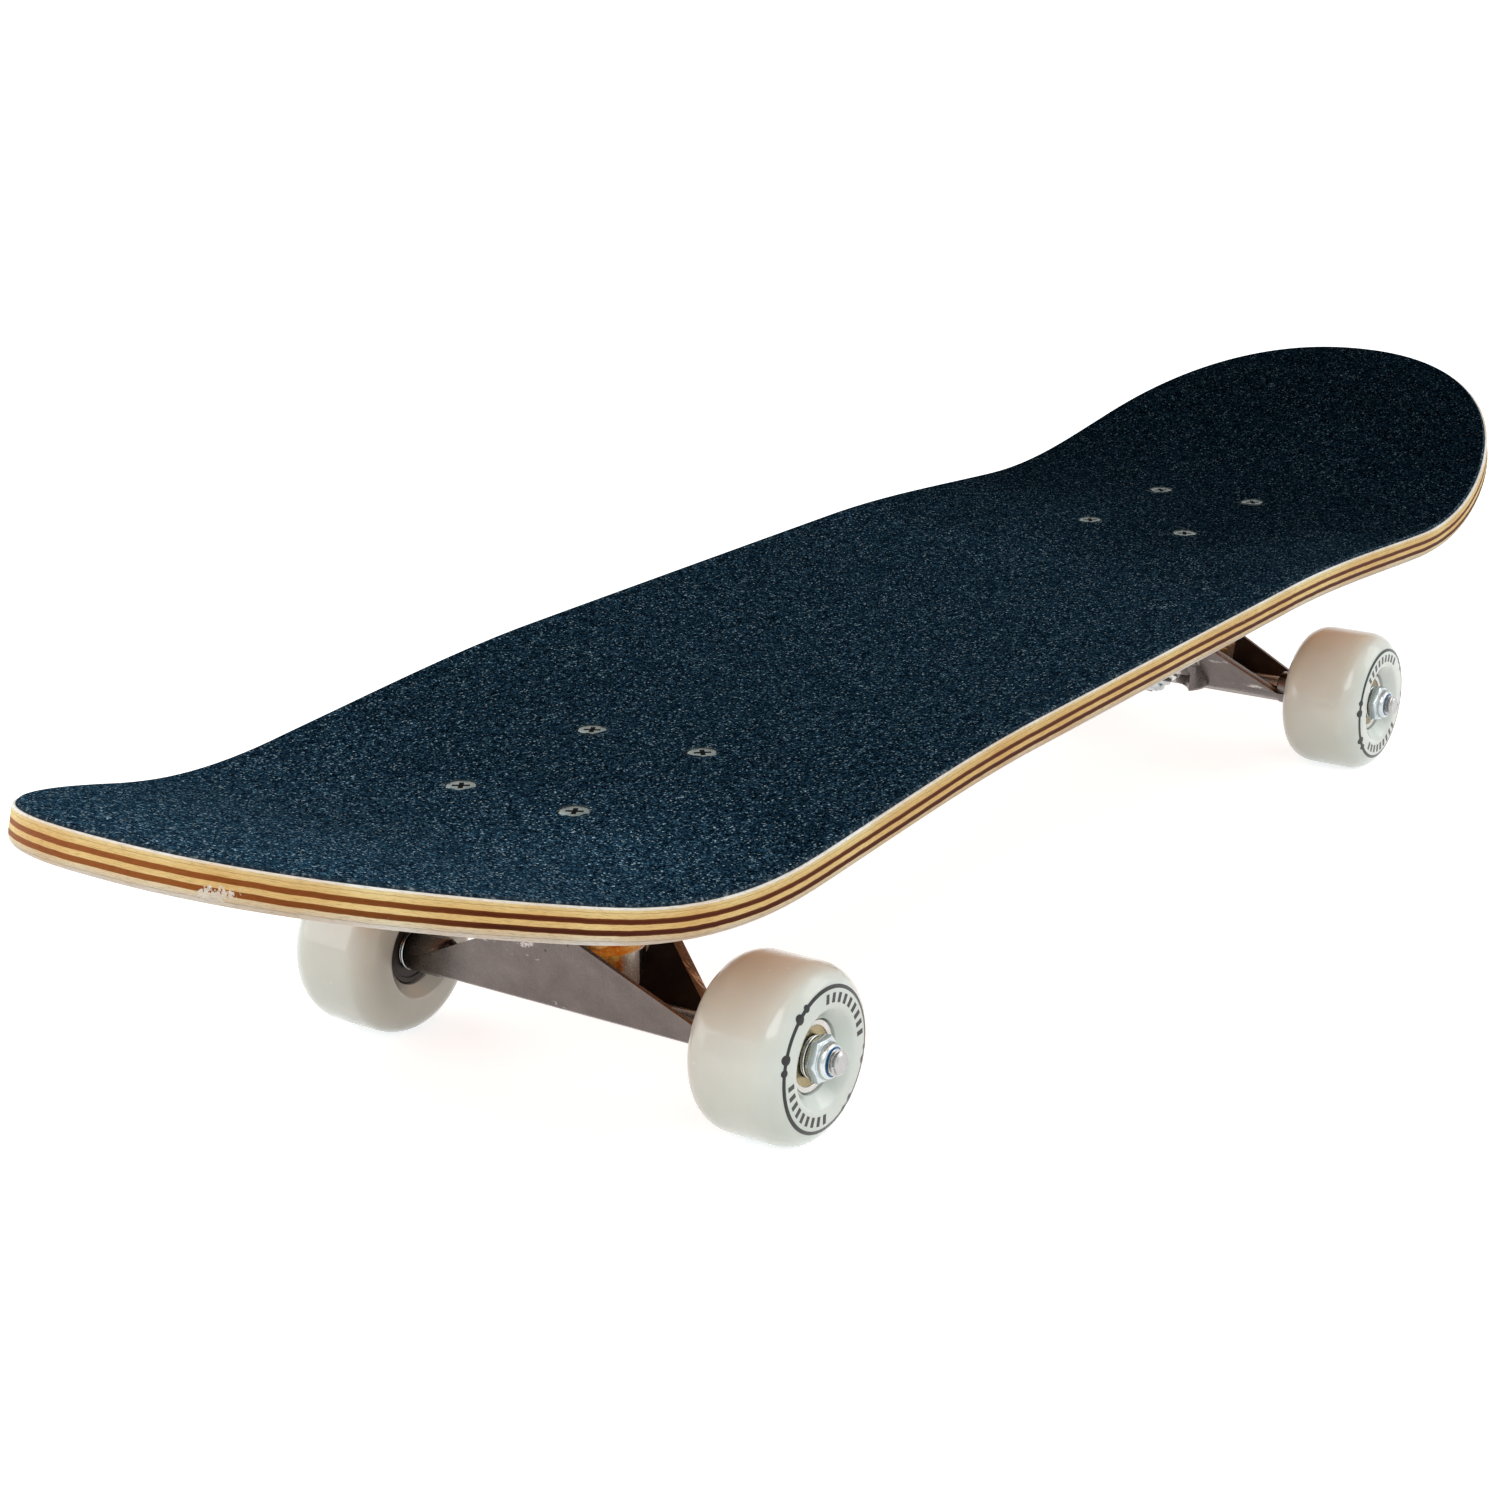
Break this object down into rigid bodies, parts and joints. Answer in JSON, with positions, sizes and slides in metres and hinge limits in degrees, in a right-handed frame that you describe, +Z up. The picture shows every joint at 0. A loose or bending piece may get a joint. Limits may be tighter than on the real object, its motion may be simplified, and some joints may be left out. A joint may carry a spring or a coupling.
{
  "type": "skateboard",
  "caption": "Street skateboard: maple ply deck with upturned ends and grip tape, steering trucks on urethane bushings, and wheels on sealed bearings.",
  "frame": {"origin": "on the floor, under the middle of the board", "axes": "+X along the board towards the nose, +Y to the board's left, +Z up"},
  "size_m": [0.7804, 0.1968, 0.1328],
  "materials": {
    "maple_ply": "satin",
    "grip_grit": "matte",
    "cast_aluminium": "satin",
    "plate_aluminium": "satin",
    "axle_steel": "satin",
    "zinc_plated_steel": "satin",
    "grey_bolt_steel": "satin",
    "wheel_urethane": "gloss",
    "bushing_urethane": "satin",
    "pivot_cup_nylon": "satin",
    "bearing_steel": "gloss"
  },
  "bodies": {
    "board": {"deck": "maple_ply", "grip_tape": "grip_grit", "deck_bolt_front_1": "grey_bolt_steel", "deck_bolt_front_2": "grey_bolt_steel", "deck_bolt_front_3": "grey_bolt_steel", "deck_bolt_front_4": "grey_bolt_steel", "deck_bolt_rear_1": "grey_bolt_steel", "deck_bolt_rear_2": "grey_bolt_steel", "deck_bolt_rear_3": "grey_bolt_steel", "deck_bolt_rear_4": "grey_bolt_steel", "deck_nut_front_1": "zinc_plated_steel", "deck_nut_front_2": "zinc_plated_steel", "deck_nut_front_3": "zinc_plated_steel", "deck_nut_front_4": "zinc_plated_steel", "deck_nut_rear_1": "zinc_plated_steel", "deck_nut_rear_2": "zinc_plated_steel", "deck_nut_rear_3": "zinc_plated_steel", "deck_nut_rear_4": "zinc_plated_steel", "baseplate_front": "plate_aluminium", "pivot_cup_front": "pivot_cup_nylon", "kingpin_front": "zinc_plated_steel", "kingpin_nut_front": "zinc_plated_steel", "bushing_board_side_front": "bushing_urethane", "bushing_road_side_front": "bushing_urethane", "cup_washer_board_side_front": "zinc_plated_steel", "cup_washer_road_side_front": "zinc_plated_steel", "baseplate_rear": "plate_aluminium", "pivot_cup_rear": "pivot_cup_nylon", "kingpin_rear": "zinc_plated_steel", "kingpin_nut_rear": "zinc_plated_steel", "bushing_board_side_rear": "bushing_urethane", "bushing_road_side_rear": "bushing_urethane", "cup_washer_board_side_rear": "zinc_plated_steel", "cup_washer_road_side_rear": "zinc_plated_steel"},
    "hanger_front": {"hanger_front": "cast_aluminium", "axle_front": "axle_steel", "inner_races_front_left": "bearing_steel", "axle_nut_front_left": "zinc_plated_steel", "inner_races_front_right": "bearing_steel", "axle_nut_front_right": "zinc_plated_steel"},
    "hanger_rear": {"hanger_rear": "cast_aluminium", "axle_rear": "axle_steel", "inner_races_rear_left": "bearing_steel", "axle_nut_rear_left": "zinc_plated_steel", "inner_races_rear_right": "bearing_steel", "axle_nut_rear_right": "zinc_plated_steel"},
    "wheel_front_left": {"wheel_front_left": "wheel_urethane", "bearing_outer_front_left": "bearing_steel", "bearing_inner_front_left": "bearing_steel"},
    "wheel_front_right": {"wheel_front_right": "wheel_urethane", "bearing_outer_front_right": "bearing_steel", "bearing_inner_front_right": "bearing_steel"},
    "wheel_rear_left": {"wheel_rear_left": "wheel_urethane", "bearing_outer_rear_left": "bearing_steel", "bearing_inner_rear_left": "bearing_steel"},
    "wheel_rear_right": {"wheel_rear_right": "wheel_urethane", "bearing_outer_rear_right": "bearing_steel", "bearing_inner_rear_right": "bearing_steel"}
  },
  "joints": [
    {"name": "steer_front", "type": "hinge", "parent": "board", "child": "hanger_front", "pos_m": [0.1901, 0, 0.04347], "axis": [0.8572, 0, 0.515], "range_deg": [-12, 12], "stiffness_Nm_per_rad": 40, "deforming": ["bushing_board_side_front", "bushing_road_side_front"]},
    {"name": "steer_rear", "type": "hinge", "parent": "board", "child": "hanger_rear", "pos_m": [-0.1901, 0, 0.04347], "axis": [-0.8572, 0, 0.515], "range_deg": [-12, 12], "stiffness_Nm_per_rad": 40, "deforming": ["bushing_board_side_rear", "bushing_road_side_rear"]},
    {"name": "spin_front_left", "type": "hinge", "parent": "hanger_front", "child": "wheel_front_left", "pos_m": [0.2056, 0.0739, 0.02697], "axis": [0, 1, 0], "continuous": true},
    {"name": "spin_front_right", "type": "hinge", "parent": "hanger_front", "child": "wheel_front_right", "pos_m": [0.2056, -0.0739, 0.02697], "axis": [0, 1, 0], "continuous": true},
    {"name": "spin_rear_left", "type": "hinge", "parent": "hanger_rear", "child": "wheel_rear_left", "pos_m": [-0.2056, 0.0739, 0.02697], "axis": [0, 1, 0], "continuous": true},
    {"name": "spin_rear_right", "type": "hinge", "parent": "hanger_rear", "child": "wheel_rear_right", "pos_m": [-0.2056, -0.0739, 0.02697], "axis": [0, 1, 0], "continuous": true}
  ]
}
